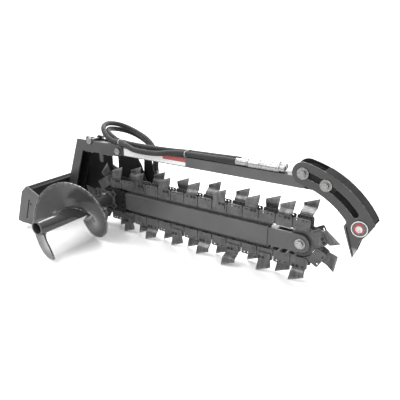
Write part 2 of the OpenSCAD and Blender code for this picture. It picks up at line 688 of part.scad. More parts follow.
// Each ring's first direction is carried over from the ring before, so the tube doesn't twist
function carried(p, i) = i == 0 ? side_of(along(p, 0))
    : let (d = along(p, i), s = carried(p, i - 1)) unit(s - d * (s * d));
function tube_points(p, r) = [for (i = [0:len(p) - 1]) let (d = along(p, i), s = carried(p, i), t = cross(d, s))
    for (k = [0:hose_sides - 1]) p[i] + r * (cos(360 * k / hose_sides) * s + sin(360 * k / hose_sides) * t)];
function tube_faces(n) = concat([[for (k = [hose_sides - 1:-1:0]) k]],
    [[for (k = [0:hose_sides - 1]) (n - 1) * hose_sides + k]],
    [for (i = [0:n - 2]) for (k = [0:hose_sides - 1]) let (a = i * hose_sides, b = (k + 1) % hose_sides)
        each [[a + k, a + b, a + hose_sides + b], [a + k, a + hose_sides + b, a + hose_sides + k]]]);
module hose(p) polyhedron(points = tube_points(p, hose_r), faces = tube_faces(len(p)), convexity = 10);
module hose_pressure() color("black") hose(route_pressure);
module hose_return() color("black") hose(route_return);

// Ferrule, swivel nut and flat-faced quick coupler at a hose's end, each stretch given by where it ends
coupler_z = 361;
swivel_len = 8;
body_r = 19;
module coupler(x0, y, ends) translate([0, y, coupler_z]) rotate([0, 90, 0]) {
    translate([0, 0, x0]) cylinder(r = 16, h = ends[0] - x0);
    translate([0, 0, ends[0]]) cylinder(r = 18, h = swivel_len, $fn = 6);
    translate([0, 0, ends[0] + swivel_len]) cylinder(r = body_r, h = ends[1] - ends[0] - swivel_len);
    translate([0, 0, ends[1]]) cylinder(r = body_r - 2, h = 6);
    translate([0, 0, ends[1] + 6]) cylinder(r = body_r, h = ends[2] - ends[1] - 6);
    translate([0, 0, ends[2]]) cylinder(r = 14.5, h = ends[3] - ends[2]);
}
module coupler_pressure() color(bright)
    coupler(route_pressure[len(route_pressure) - 1].x, -20, [1222, 1290, 1384, 1407]);
module coupler_return() color(bright)
    coupler(route_return[len(route_return) - 1].x, 18, [1219, 1284, 1371, 1401]);

mount_plate();
mount_hook();
mount_ledge();
mount_end_near();
mount_end_far();
side_plate_near();
side_plate_far();
back_plate();
main_plate();
arm_bridge();
tail_tab();
head_plate_near();
head_plate_far();
hub_housing();
near_bearing();
head_bolts();
boom_root();
boom_tube();
wear_strips();
tension_anchor();
motor_body();
motor_bolts();
valve_block();
port_adapters();
hose_post();
arm_pivot_bolt();
arm_stop_rod();
chain_outer_near();
chain_outer_far();
chain_inner();
chain_pins();
chain_rollers();
teeth_near();
teeth_far();
tooth_bolts();
drive_shaft();
drive_sprocket();
auger_hub();
auger_tube();
auger_flight();
auger_bolt();
nose_fork();
idler_axle();
tension_screw();
idler_roller();
idler_bush();
arm_tube();
arm_end_bracket();
arm_bush();
arm_decal();
crumber_bolts();
crumber_plate_near();
crumber_plate_far();
crumber_rim();
crumber_shoe();
crumber_cap();
hose_pressure();
hose_return();
coupler_pressure();
coupler_return();
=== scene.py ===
"""Looks of the trencher attachment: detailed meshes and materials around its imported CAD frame."""
import json
import math

import bmesh
import bpy
from mathutils import Matrix, Vector, noise
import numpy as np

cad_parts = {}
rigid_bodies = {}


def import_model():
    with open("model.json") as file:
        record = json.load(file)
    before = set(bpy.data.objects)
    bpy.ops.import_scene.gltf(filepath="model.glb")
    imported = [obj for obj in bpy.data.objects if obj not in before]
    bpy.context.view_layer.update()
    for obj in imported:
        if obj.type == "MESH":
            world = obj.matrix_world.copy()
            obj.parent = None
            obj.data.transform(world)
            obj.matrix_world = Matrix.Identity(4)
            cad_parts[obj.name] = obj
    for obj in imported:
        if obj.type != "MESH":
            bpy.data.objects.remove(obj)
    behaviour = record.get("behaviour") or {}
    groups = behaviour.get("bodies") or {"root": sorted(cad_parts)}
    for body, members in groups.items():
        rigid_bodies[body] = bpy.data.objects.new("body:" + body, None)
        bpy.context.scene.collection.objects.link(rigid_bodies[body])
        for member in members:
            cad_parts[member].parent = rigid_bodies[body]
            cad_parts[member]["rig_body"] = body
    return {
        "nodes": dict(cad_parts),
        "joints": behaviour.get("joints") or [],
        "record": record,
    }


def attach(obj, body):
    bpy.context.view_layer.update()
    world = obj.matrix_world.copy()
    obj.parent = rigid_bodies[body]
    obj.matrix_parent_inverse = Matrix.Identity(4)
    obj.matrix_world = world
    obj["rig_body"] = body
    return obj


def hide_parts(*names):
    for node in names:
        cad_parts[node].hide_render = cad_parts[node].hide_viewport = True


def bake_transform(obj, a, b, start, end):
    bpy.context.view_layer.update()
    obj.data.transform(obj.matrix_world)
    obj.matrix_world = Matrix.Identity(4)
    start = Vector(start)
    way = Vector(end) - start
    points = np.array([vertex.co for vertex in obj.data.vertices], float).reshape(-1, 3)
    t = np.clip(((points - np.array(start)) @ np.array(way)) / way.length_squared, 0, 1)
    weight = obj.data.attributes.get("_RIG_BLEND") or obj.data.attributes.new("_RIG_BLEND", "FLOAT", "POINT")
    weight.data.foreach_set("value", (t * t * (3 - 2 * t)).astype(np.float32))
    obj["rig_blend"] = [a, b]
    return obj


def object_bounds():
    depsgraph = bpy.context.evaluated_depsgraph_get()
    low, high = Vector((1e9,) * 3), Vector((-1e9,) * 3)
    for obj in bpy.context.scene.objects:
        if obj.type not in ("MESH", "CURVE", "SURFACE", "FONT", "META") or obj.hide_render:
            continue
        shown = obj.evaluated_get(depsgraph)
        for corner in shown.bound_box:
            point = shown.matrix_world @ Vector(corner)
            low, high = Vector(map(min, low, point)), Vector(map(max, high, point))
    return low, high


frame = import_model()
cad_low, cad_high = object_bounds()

# Centres of the drive, the idler and the crumber's slot. Lengths are in metres, in the frame's axes.
JOINTS = {j["name"]: j for j in frame["joints"]}
DRIVE = Vector(JOINTS["drive_spin"]["pos_m"])
NOSE = Vector(JOINTS["idler_spin"]["pos_m"])
SLOT_CENTRE = Vector(JOINTS["crumber_adjust"]["pos_m"])


# ------------------------------------------------------------------ camera

CAMERA_AT = (2.1345, -1.8403, 0.921)
CAMERA_DOWN = 20.06
CAMERA_TURN = 32.65
LENS_MM, SENSOR_MM = 41.38, 36


def make_camera():
    """Camera at the photograph's viewing angle, fitted to the chain's links and the boom."""
    data = bpy.data.cameras.new("camera")
    data.sensor_width = SENSOR_MM
    data.lens = LENS_MM
    camera = bpy.data.objects.new("camera", data)
    camera.location = CAMERA_AT
    camera.rotation_euler = (math.radians(90 - CAMERA_DOWN), 0, math.radians(CAMERA_TURN))
    bpy.context.scene.collection.objects.link(camera)
    bpy.context.scene.camera = camera


make_camera()


# ------------------------------------------------------------------ mesh helpers

def worn_mesh():
    """Empty bmesh with the layer that marks edges for wear, and the auger flighting's rim for a painted
    highlight.
    """
    bm = bmesh.new()
    bm.verts.layers.float.new("edge")
    return bm


def body_of(node):
    """CAD body that a CAD node belongs to."""
    return frame["nodes"][node]["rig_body"]


def new_object(name, bm, material, body=None, stands_for=()):
    """Turns a bmesh into a piece of one material slot that rides on a CAD body."""
    mesh = bpy.data.meshes.new(name)
    bm.to_mesh(mesh)
    bm.free()
    mesh.materials.append(material)
    piece = bpy.data.objects.new(name, mesh)
    bpy.context.scene.collection.objects.link(piece)
    if body:
        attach(piece, body)
    if stands_for:
        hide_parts(*stands_for)
    return piece


def smooth(piece, keep_sharp=True):
    """Smooth shading whose flat faces stay flat."""
    for polygon in piece.data.polygons:
        polygon.use_smooth = True
    if keep_sharp:
        weighted = piece.modifiers.new("weighted", "WEIGHTED_NORMAL")
        weighted.keep_sharp = True
    return piece


def spline(points, steps):
    """Catmull-Rom curve through the points, with a number of steps on each stretch."""
    p = [Vector(q) for q in points]
    p = [2 * p[0] - p[1]] + p + [2 * p[-1] - p[-2]]
    out = []
    for i in range(1, len(p) - 2):
        for k in range(steps):
            t = k / steps
            a, b, c, d = p[i - 1], p[i], p[i + 1], p[i + 2]
            out.append(0.5 * (2 * b + (c - a) * t + (2 * a - 5 * b + 4 * c - d) * t * t
                              + (3 * b - a - 3 * c + d) * t ** 3))
    out.append(p[-2])
    return out


def tube(bm, path, radius, sides, closed=False):
    """Sweeps a circle along a path without twisting. radius is a number, or a function of the distance."""
    count = len(path)
    side = None
    rings = []
    travelled = 0.0
    uv = bm.loops.layers.uv.verify()
    lengths = []
    for i, point in enumerate(path):
        before, after = path[max(i - 1, 0)], path[min(i + 1, count - 1)]
        if closed:
            before, after = path[i - 1], path[(i + 1) % count]
        direction = (after - before).normalized()
        if side is None:
            side = direction.orthogonal().normalized()
        side = (side - direction * side.dot(direction)).normalized()
        other = direction.cross(side)
        if i:
            travelled += (point - path[i - 1]).length
        lengths.append(travelled)
        r = radius(travelled) if callable(radius) else radius
        rings.append([bm.verts.new(point + r * (math.cos(a) * side + math.sin(a) * other))
                      for a in (2 * math.pi * k / sides for k in range(sides))])
    pairs = list(zip(range(count - 1), range(1, count))) + ([(count - 1, 0)] if closed else [])
    for i, j in pairs:
        for k in range(sides):
            m = (k + 1) % sides
            face = bm.faces.new((rings[i][k], rings[i][m], rings[j][m], rings[j][k]))
            ends = [(lengths[i], k), (lengths[i], k + 1), (lengths[j] or travelled, k + 1),
                    (lengths[j] or travelled, k)]
            for loop, (along, turn) in zip(face.loops, ends):
                loop[uv].uv = (along, turn / sides)
    if not closed:
        bm.faces.new(rings[0][::-1])
        bm.faces.new(rings[-1])


def lathe(bm, profile, origin, axis, sides=48):
    """Turns (radius, distance) points about an axis through origin. An end at radius 0 is closed."""
    axis = Vector(axis).normalized()
    u = axis.orthogonal().normalized()
    v = axis.cross(u)
    rings = []
    for r, d in profile:
        centre = Vector(origin) + axis * d
        if r < 1e-7:
            rings.append([bm.verts.new(centre)])
        else:
            rings.append([bm.verts.new(centre + r * (math.cos(a) * u + math.sin(a) * v))
                          for a in (2 * math.pi * k / sides for k in range(sides))])
    for a, b in zip(rings, rings[1:]):
        for k in range(sides):
            m = (k + 1) % sides
            if len(a) == 1:
                bm.faces.new((a[0], b[m], b[k]))
            elif len(b) == 1:
                bm.faces.new((a[k], a[m], b[0]))
            else:
                bm.faces.new((a[k], a[m], b[m], b[k]))


# ------------------------------------------------------------------ materials

class Shader:
    """A Principled material, with short calls for the nodes that feed it."""

    def __init__(self, name):
        self.material = bpy.data.materials.new("look_" + name)
        self.material["slot"] = name
        self.material.use_nodes = True
        self.tree = self.material.node_tree
        self.tree.nodes.clear()
        self.surface = self.add("ShaderNodeBsdfPrincipled")
        output = self.add("ShaderNodeOutputMaterial")
        self.tree.links.new(self.surface.outputs[0], output.inputs["Surface"])
        self.place = self.add("ShaderNodeTexCoord").outputs["Object"]

    def add(self, kind, inputs=(), **settings):
        node = self.tree.nodes.new(kind)
        for key, value in settings.items():
            setattr(node, key, value)
        for key, value in dict(inputs).items():
            self.put(node.inputs[key], value)
        return node

    def put(self, socket, value):
        if isinstance(value, bpy.types.NodeSocket):
            self.tree.links.new(value, socket)
        else:
            socket.default_value = value

    def set(self, **inputs):
        for key, value in inputs.items():
            self.put(self.surface.inputs[key.replace("_", " ")], value)

    def noise(self, scale, detail=3, rough=0.5, stretch=(1, 1, 1)):
        mapping = self.add("ShaderNodeMapping", {"Vector": self.place, "Scale": stretch})
        inputs = {"Vector": mapping.outputs[0], "Scale": scale, "Detail": detail, "Roughness": rough}
        return self.add("ShaderNodeTexNoise", inputs).outputs["Fac"]

    def vector(self, kind, a, b=(0, 0, 0)):
        return self.add("ShaderNodeVectorMath", {0: a, 1: b}, operation=kind).outputs

    def span(self, value, low, high, to_low=0.0, to_high=1.0):
        made = self.add("ShaderNodeMapRange", {"Value": value, "From Min": low, "From Max": high,
                                               "To Min": to_low, "To Max": to_high})
        return made.outputs[0]

    def math(self, kind, a, b=0.0):
        return self.add("ShaderNodeMath", {0: a, 1: b}, operation=kind).outputs[0]

    def times(self, a, b):
        return self.math("MULTIPLY", a, b)

    def mix(self, factor, a, b):
        return self.add("ShaderNodeMix", {0: factor, 6: a, 7: b}, data_type="RGBA").outputs[2]

    def attribute(self, name):
        return self.add("ShaderNodeAttribute", attribute_name=name).outputs["Fac"]

    def bump(self, height, distance, strength):
        made = self.add("ShaderNodeBump", {"Height": height, "Distance": distance, "Strength": strength})
        return made.outputs[0]


def grey(value, warmth=0.0):
    """Neutral colour, a little towards brown as warmth rises."""
    return (value * (1 + warmth), value, value * (1 - warmth), 1)


BARE_STEEL = grey(0.32)


def paint(name, value, rough, peel=0.4, wear=0.6, dust=0.25, shine=0.5, bare_below=None):
    """Sprayed paint: faint orange peel, uneven tone, a little dust, and edges rubbed to bare metal.

    bare_below: height under which the paint is rubbed off, if it is at all.
    """
    s = Shader(name)
    cloud = s.span(s.noise(7, 5), 0.3, 0.7)
    tone = s.mix(cloud, grey(value * 0.85), grey(value * 1.15))
    speck = s.span(s.noise(130, 5, 0.7), 0.56, 0.75, 0, dust)
    tone = s.mix(speck, tone, grey(value * 2.2, 0.03))
    worn = s.times(s.attribute("edge"), s.span(s.noise(85, 4, 0.6), 0.42, 0.62))
    worn = s.times(worn, wear)
    if bare_below:
        height = s.add("ShaderNodeSeparateXYZ", {0: s.place}).outputs[2]
        low_down = s.span(height, bare_below, bare_below + 0.02, 1, 0)
        brightened = s.times(low_down, s.span(s.noise(90, 4), 0.35, 0.5))
        worn = s.math("MAXIMUM", worn, brightened)
    s.set(Base_Color=s.mix(worn, tone, BARE_STEEL), Metallic=s.times(worn, 0.8))
    gloss = s.span(s.noise(22, 4), 0.3, 0.7, rough - 0.05, rough + 0.07)
    s.set(Roughness=s.math("ADD", gloss, speck))
    s.set(Normal=s.bump(s.noise(650, 2), 0.0002, peel), Specular_IOR_Level=shine)
    return s.material


def chain_steel():
    """Black-oxide steel plates with dull mottling, pitting and a thin film of dirt."""
    s = Shader("chain_steel")
    blotch = s.span(s.noise(24, 6, 0.6), 0.32, 0.68)
    tone = s.mix(blotch, grey(0.058), grey(0.095, 0.01))
    dirt = s.span(s.noise(70, 5, 0.75), 0.55, 0.7, 0, 0.55)
    tone = s.mix(dirt, tone, grey(0.13, 0.08))
    worn = s.times(s.attribute("edge"), s.span(s.noise(60, 3), 0.35, 0.6, 0, 0.5))
    s.set(Base_Color=s.mix(worn, tone, BARE_STEEL))
    s.set(Metallic=s.span(worn, 0, 1, 0.35, 0.9))
    gloss = s.span(s.noise(40, 4), 0.3, 0.7, 0.42, 0.58)
    s.set(Roughness=s.math("ADD", gloss, s.times(dirt, 0.3)))
    s.set(Normal=s.bump(s.noise(420, 4, 0.7), 0.0003, 0.6))
    return s.material


def black_bolt_hole_shade():
    """Black-oxide bolt heads, darkened nearly to black as painted shade of the holes they fill."""
    s = Shader("chain_steel")
    s.set(Base_Color=s.mix(s.noise(150, 4), grey(0.008), grey(0.02, 0.05)), Metallic=0.3)
    s.set(Roughness=s.span(s.noise(90, 3), 0.3, 0.7, 0.5, 0.7))
    s.set(Normal=s.bump(s.noise(400, 3), 0.0002, 0.5))
    return s.material


def tooth_steel():
    """Hardened digging steel: dark at the foot, ground along the blade, brightest at its edge, with a
    painted highlight on the bend's face.
    """
    s = Shader("tooth_steel")
    streak = s.noise(60, 5, 0.6, stretch=(1, 1, 0.25))
    tone = s.mix(s.span(streak, 0.35, 0.65), grey(0.05), grey(0.11))
    # Brightening from the tooth's attribute: a painted highlight on the bend, wear towards the tip
    bright = s.math("ADD", s.attribute("worn"), s.span(streak, 0.3, 0.7, -0.25, 0.2))
    bright = s.span(bright, 0.25, 1.2, 0, 0.75)
    bright = s.math("MAXIMUM", bright, s.times(s.attribute("edge"), 0.5))
    s.set(Base_Color=s.mix(bright, tone, grey(0.3)), Metallic=s.span(bright, 0, 1, 0.45, 1.0))
    s.set(Roughness=s.span(s.noise(90, 4), 0.3, 0.7, 0.27, 0.4))
    s.set(Normal=s.bump(s.noise(300, 4, 0.6, stretch=(1, 1, 0.3)), 0.0002, 0.06))
    return s.material


def zinc_plate(low, high):
    """Zinc plating with fine grain, dull patches of tone low and bright ones of tone high."""
    s = Shader("zinc_plate")
    patch = s.span(s.noise(160, 5, 0.65), 0.38, 0.62)
    dark = s.span(s.noise(330, 4, 0.7), 0.6, 0.72, 0, 0.5)
    tone = s.mix(patch, grey(low), grey(high, 0.01))
    s.set(Base_Color=s.mix(dark, tone, grey(0.1, 0.05)), Metallic=0.9)
    s.set(Roughness=s.span(patch, 0, 1, 0.42, 0.3))
    s.set(Normal=s.bump(s.noise(500, 3), 0.00015, 0.4))
    return s.material


def bronze():
    """Machined bronze bearing metal."""
    s = Shader("bronze")
    turned = s.noise(220, 3, 0.5, stretch=(0.2, 3, 0.2))
    s.set(Base_Color=s.mix(turned, (0.36, 0.22, 0.09, 1), (0.58, 0.4, 0.19, 1)), Metallic=1.0)
    s.set(Roughness=s.span(turned, 0.3, 0.7, 0.25, 0.42), Normal=s.bump(turned, 0.0001, 0.4))
    return s.material


def hose_sleeve():
    """Woven nylon sleeve: diagonal yarns over and under each other, by the mesh's length and turn."""
    s = Shader("hose_sleeve")
    uv = s.add("ShaderNodeSeparateXYZ", {0: s.add("ShaderNodeUVMap").outputs[0]})
    along = s.times(uv.outputs[0], YARNS_PER_METRE)
    turn = s.times(uv.outputs[1], 2 * math.pi * YARNS_ROUND)
    one = s.math("SINE", s.math("ADD", along, turn))
    two = s.math("SINE", s.math("SUBTRACT", along, turn))
    weave = s.times(one, two)
    tone = s.mix(s.span(weave, -1, 1), grey(0.005), grey(0.022))
    fade = s.span(s.noise(18, 4), 0.35, 0.7, 0, 0.6)
    s.set(Base_Color=s.mix(fade, tone, grey(0.022)))
    s.set(Roughness=0.62, Sheen_Weight=0.12, Sheen_Roughness=0.5, Specular_IOR_Level=0.3)
    s.set(Normal=s.bump(weave, 0.0006, 0.7))
    return s.material


def decal_film():
    """Glossy film: a plain white field under a band of slanting red bars on black."""
    s = Shader("decal_film")
    place = s.add("ShaderNodeSeparateXYZ", {0: s.place})
    x, z = place.outputs[0], place.outputs[2]
    bars = s.math("FRACT", s.times(s.math("SUBTRACT", x, z), BARS_PER_METRE))
    bars = s.math("GREATER_THAN", bars, 0.35)
    right = s.math("GREATER_THAN", x, DECAL_SPLIT_X)
    widening = s.span(x, DECAL_WIDEN_X, DECAL_WIDEN_X + 0.001, 0, DECAL_WIDEN_BY)
    upper = s.math("GREATER_THAN", z, s.math("SUBTRACT", DECAL_EDGE_Z, widening))
    field = s.mix(s.span(s.noise(120, 5, 0.75), 0.45, 0.62, 0, 0.6), grey(0.62), grey(0.38))
    band = s.mix(bars, grey(0.03), (0.42, 0.008, 0.008, 1))
    s.set(Base_Color=s.mix(s.times(right, upper), field, band), Roughness=0.3, Coat_Weight=0.3)
    s.set(Normal=s.bump(s.noise(60, 3), 0.0003, 0.25))
    return s.material


def cap_plastic():
    """Moulded cap: dark disc with a red ring and a pale rim, set by distance from its own axis."""
    s = Shader("cap_plastic")
    away = s.vector("SUBTRACT", s.place, (CAP_X, 0, CAP_Z))[0]
    flat = s.vector("MULTIPLY", away, (1, 0, 1))[0]
    r = s.vector("LENGTH", flat)["Value"]
    ring_in, ring_out = CAP_RING
    red = s.times(s.math("GREATER_THAN", r, ring_in), s.math("LESS_THAN", r, ring_out))
    red = s.times(red, s.span(s.noise(75, 2), 0.42, 0.46))
    rim = s.math("GREATER_THAN", r, CAP_RIM_R)
    hub = s.math("LESS_THAN", r, CAP_HUB_R)
    tone = s.mix(s.span(s.noise(120, 4), 0.3, 0.7), grey(0.05), grey(0.1))
    tone = s.mix(red, tone, (0.6, 0.03, 0.025, 1))
    tone = s.mix(rim, tone, grey(0.7))
    tone = s.mix(hub, tone, s.mix(s.span(s.noise(200, 4), 0.35, 0.65), grey(0.35), grey(0.6)))
    s.set(Base_Color=tone, Roughness=s.span(s.noise(80, 3), 0.3, 0.7, 0.22, 0.4))
    s.set(Metallic=s.times(hub, 0.8), Normal=s.bump(s.noise(300, 3), 0.0001, 0.3))
    return s.material


def weld():
    """Painted weld bead with bright spots painted on it as glints of its ripples."""
    s = Shader("black_paint")
    glint_spot = s.span(s.noise(70, 3, 0.6), 0.5, 0.68)
    s.set(Base_Color=s.mix(glint_spot, grey(0.03), grey(0.24)), Metallic=s.times(glint_spot, 0.6))
    s.set(Roughness=s.span(glint_spot, 0, 1, 0.42, 0.26))
    s.set(Normal=s.bump(s.noise(500, 3), 0.0003, 0.5))
    return s.material


def clear_tie():
    """Milky nylon cable tie."""
    s = Shader("decal_film")
    s.set(Base_Color=s.mix(s.noise(90, 3), grey(0.6), grey(0.75)), Roughness=0.35, Subsurface_Weight=0.15)
    s.set(Normal=s.bump(s.noise(400, 2), 0.0001, 0.3))
    return s.material


# Panel on the arm: where its red bars start, their lower edge, and where that edge steps down
DECAL_SPLIT_X = 0.56
DECAL_EDGE_Z = 0.3275
DECAL_WIDEN_X = 0.75
DECAL_WIDEN_BY = 0.011
BARS_PER_METRE = 55.0
# Cap: centre, red ring's inner and outer radius, pale rim and metal hub
CAP_X, CAP_Z = 1.754, 0.166
CAP_RING = (0.0152, 0.0205)
CAP_RIM_R = 0.0305
CAP_HUB_R = 0.0145
# Weave of the hoses' sleeves
YARNS_PER_METRE = 1500.0
YARNS_ROUND = 16

BLACK_PAINT = paint("black_paint", 0.034, 0.38)
TIP_PAINT = paint("black_paint", 0.034, 0.38, wear=1.0, bare_below=0.06)
# Black paint darkened as painted shade, for plates and housings that sit in shadow inside and behind the
# frame
SHADED_BLACK_PAINT = paint("black_paint", 0.01, 0.6, wear=0.35, dust=0.06, shine=0.2)
# Near-black paint for the mount's hook: painted shade of the shadowed slot beside it
HOOK_SHADE_PAINT = paint("black_paint", 0.008, 0.7, wear=0.08, dust=0.04, shine=0.1)
GREY_PAINT = paint("grey_paint", 0.062, 0.36)
# Its strong edge wear also paints the highlight along the flighting's rim
GLOSS_PAINT = paint("gloss_paint", 0.032, 0.16, peel=0.12, wear=0.9, dust=0.08)
CHAIN_STEEL = chain_steel()
# Near-black bolts: painted shade of the holes they fill
BLACK_BOLT_HOLE_SHADE = black_bolt_hole_shade()
TOOTH_STEEL = tooth_steel()
ZINC = zinc_plate(0.15, 0.3)
BRIGHT_ZINC = zinc_plate(0.21, 0.4)
# Zinc darkened as painted shade, for the bolts on the shadowed drive head
SHADED_ZINC = zinc_plate(0.03, 0.1)
BRONZE = bronze()
SLEEVE = hose_sleeve()
DECAL = decal_film()
CAP = cap_plastic()
TIE = clear_tie()
# Weld beads' material, with painted glints
WELD_GLINTS = weld()
SLOTS = {m["slot"]: m for m in (BLACK_PAINT, GREY_PAINT, GLOSS_PAINT, CHAIN_STEEL, TOOTH_STEEL, ZINC,
                                BRONZE, SLEEVE, DECAL, CAP)}
SLOT_OF = {s["node"]: s["material_slot"] for s in frame["record"]["subparts"]}


# ------------------------------------------------------------------ hoses

HOSE_D = 0.028
# Routes from each port's ferrule up, round the loop and along the arm, to a point inside the coupler
ROUTE_PRESSURE = [(0.570, 0.142, 0.186), (0.570, 0.142, 0.204), (0.569, 0.144, 0.230), (0.562, 0.150, 0.262),
                  (0.543, 0.163, 0.294), (0.516, 0.177, 0.318), (0.484, 0.189, 0.335),
                  (0.451, 0.199, 0.348), (0.417, 0.207, 0.358), (0.380, 0.212, 0.369),
                  (0.341, 0.211, 0.382), (0.306, 0.198, 0.397), (0.279, 0.173, 0.411),
                  (0.264, 0.139, 0.421), (0.261, 0.099, 0.426), (0.271, 0.059, 0.422),
                  (0.295, 0.025, 0.411), (0.325, 0.003, 0.393), (0.358, -0.009, 0.375),
                  (0.394, -0.014, 0.363), (0.430, -0.018, 0.362), (0.475, -0.030, 0.364),
                  (0.520, -0.041, 0.356), (0.565, -0.047, 0.344), (0.620, -0.047, 0.339),
                  (0.680, -0.047, 0.340), (0.740, -0.047, 0.345), (0.790, -0.043, 0.354),
                  (0.840, -0.031, 0.358), (0.888, -0.023, 0.358), (0.940, -0.020, 0.358),
                  (1.030, -0.020, 0.359), (1.120, -0.020, 0.361), (1.169, -0.020, 0.361),
                  (1.300, -0.020, 0.361)]
ROUTE_RETURN = [(0.534, 0.178, 0.186), (0.534, 0.178, 0.204), (0.532, 0.182, 0.230), (0.525, 0.190, 0.259),
                (0.506, 0.200, 0.284), (0.477, 0.212, 0.303), (0.447, 0.222, 0.314), (0.416, 0.232, 0.322),
                (0.378, 0.240, 0.334),
                (0.332, 0.236, 0.351), (0.294, 0.215, 0.367), (0.270, 0.178, 0.380), (0.262, 0.136, 0.390),
                (0.270, 0.096, 0.395), (0.298, 0.058, 0.391), (0.333, 0.036, 0.383), (0.370, 0.024, 0.371),
                (0.404, 0.017, 0.361), (0.442, 0.010, 0.358), (0.485, 0.002, 0.357), (0.540, -0.005, 0.357),
                (0.600, -0.010, 0.357), (0.661, -0.012, 0.357), (0.740, -0.008, 0.357),
                (0.812, 0.000, 0.357), (0.870, 0.008, 0.358), (0.930, 0.014, 0.358), (1.040, 0.017, 0.359),
                (1.130, 0.018, 0.361), (1.180, 0.018, 0.361), (1.300, 0.018, 0.361)]
COUPLER_Z = 0.361
SWIVEL_LENGTH = 0.008
CRIMP_STEP = 0.0094
# Each coupler's sideways place, and where its ferrule, body, sleeve and nose end along the arm
COUPLERS = {"pressure": (-0.020, (1.222, 1.290, 1.384, 1.407)),
            "return": (0.018, (1.219, 1.284, 1.371, 1.401))}
# Where the two nylon ties hold the hoses together
TIES = {"hose_tie_rear": 0.456, "hose_tie_front": 0.889}
TIE_R = 0.0012
TIE_LOCK = (0.006, 0.007, 0.004)
# The hoses go over from the frame to the arm between these two points
BEND_FROM, BEND_TO = (0.55, 0.135, 0.3), (0.55, 0.0, 0.3)


def make_hose(name, route, seed):
    """Hydraulic hose in its woven sleeve, free between its port and the arm and tied along the arm."""
    path = spline(route, 8)
    bm = bmesh.new()

    def radius(along):
        return HOSE_D / 2 * (1 - 0.035 * (0.5 + 0.5 * noise.noise(Vector((along * 38, seed, 0)))))

    tube(bm, path, radius, sides=32)
    hose = new_object(name + "_sleeve", bm, SLEEVE)
    smooth(hose, keep_sharp=False)
    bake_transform(hose, "frame", "crumber_arm", start=BEND_FROM, end=BEND_TO)
    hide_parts(name)
    return hose, path


def ferrule_profile(start, end):
    """Crimped ferrule that grips the hose at start and stops at end, ribbed by the crimping jaws."""
    points = [(0.0142, start - 0.001), (0.0166, start - 0.001), (0.0172, start + 0.002),
              (0.0172, start + 0.006), (0.0150, start + 0.0072)]
    x = start + 0.009
    while x < end - 0.009:
        points += [(0.0158, x), (0.0158, x + 0.0052), (0.0148, x + 0.0064), (0.0148, x + 0.0082)]
        x += CRIMP_STEP
    return points + [(0.0158, x), (0.0158, end), (0.012, end + 0.0002)]


def body_profile(nut, body, sleeve, tip):
    """Quick coupler from its swivel nut: body, grooved locking sleeve and flat nose."""
    points = [(0.012, nut - 0.0005), (0.0158, nut), (0.0158, nut + 0.003), (0.0182, nut + 0.004),
              (0.0190, nut + 0.0055), (0.0190, body - 0.004), (0.0182, body - 0.0008), (0.0166, body),
              (0.0166, body + 0.006), (0.0178, body + 0.006), (0.0190, body + 0.0078)]
    points += [(0.0190, body + 0.016), (0.0181, body + 0.017), (0.0181, body + 0.020),
               (0.0190, body + 0.021)]
    points += [(0.0190, sleeve - 0.011), (0.0181, sleeve - 0.010), (0.0181, sleeve - 0.007),
               (0.0190, sleeve - 0.006), (0.0190, sleeve - 0.0018), (0.0178, sleeve), (0.0142, sleeve)]
    return points + [(0.0142, tip - 0.0015), (0.0136, tip), (0.0112, tip), (0.0108, tip - 0.002),
                     (0, tip - 0.002)]


def make_coupler(name, start, y, ends):
    """Ferrule, swivel nut and quick coupler on the end of a hose. ends: where each of its parts stops."""
    bm = bmesh.new()
    origin = (0, y, COUPLER_Z)
    ferrule, body, sleeve, tip = ends
    nut = ferrule + SWIVEL_LENGTH
    lathe(bm, ferrule_profile(start, ferrule), origin, (1, 0, 0))
    lathe(bm, body_profile(nut, body, sleeve, tip), origin, (1, 0, 0))
    hexagon(bm, 0.018, ferrule, nut, origin, (1, 0, 0))
    piece = new_object(name + "_body", bm, BRIGHT_ZINC, "crumber_arm", (name,))
    return smooth(piece)


def make_tie(name, paths, x):
    """Nylon tie round both hoses where they pass x, with its small lock on top."""
    centres = [min(path[len(path) // 3:], key=lambda p: abs(p.x - x)) for path in paths]
    near, far = sorted(centres, key=lambda p: p.y)
    out = (near - far).normalized()
    along = Vector((1, 0, 0))
    along = (along - out * along.dot(out)).normalized()
    up = out.cross(along)
    reach = HOSE_D / 2 + TIE_R
    loop = []
    for centre, first in ((near, -90), (far, 90)):
        for k in range(13):
            a = math.radians(first + 15 * k)
            loop.append(centre + reach * (math.cos(a) * out + math.sin(a) * up))
    bm = bmesh.new()
    tube(bm, loop, 0.0011, sides=8, closed=True)
    lock = (near + far) / 2 + up * (reach if up.z > 0 else -reach)
    made = bmesh.ops.create_cube(bm, size=1)["verts"]
    bmesh.ops.scale(bm, verts=made, vec=TIE_LOCK)
    bmesh.ops.translate(bm, verts=made, vec=lock)
    bmesh.ops.bevel(bm, geom=list({e for v in made for e in v.link_edges}), offset=0.001, segments=2,
                    affect="EDGES")
    return smooth(new_object(name, bm, TIE, "crumber_arm"))


def hexagon(bm, radius, start, end, origin, axis):
    """Six-sided nut between two distances along an axis, with chamfered corners."""
    chamfer = 0.0012
    axis = Vector(axis).normalized()
    u = Vector((0, 0, 1)) if abs(axis.z) < 0.9 else Vector((1, 0, 0))
    v = axis.cross(u)
    rings = []
    for distance, r in ((start, radius - chamfer), (start + chamfer, radius), (end - chamfer, radius),
                        (end, radius - chamfer)):
        centre = Vector(origin) + axis * distance
        rings.append([bm.verts.new(centre + r * (math.cos(a) * u + math.sin(a) * v))
                      for a in (math.radians(60 * k) for k in range(6))])
    for a, b in zip(rings, rings[1:]):
        for k in range(6):
            m = (k + 1) % 6
            bm.faces.new((a[k], a[m], b[m], b[k]))
    bm.faces.new(rings[0][::-1])
    bm.faces.new(rings[-1])


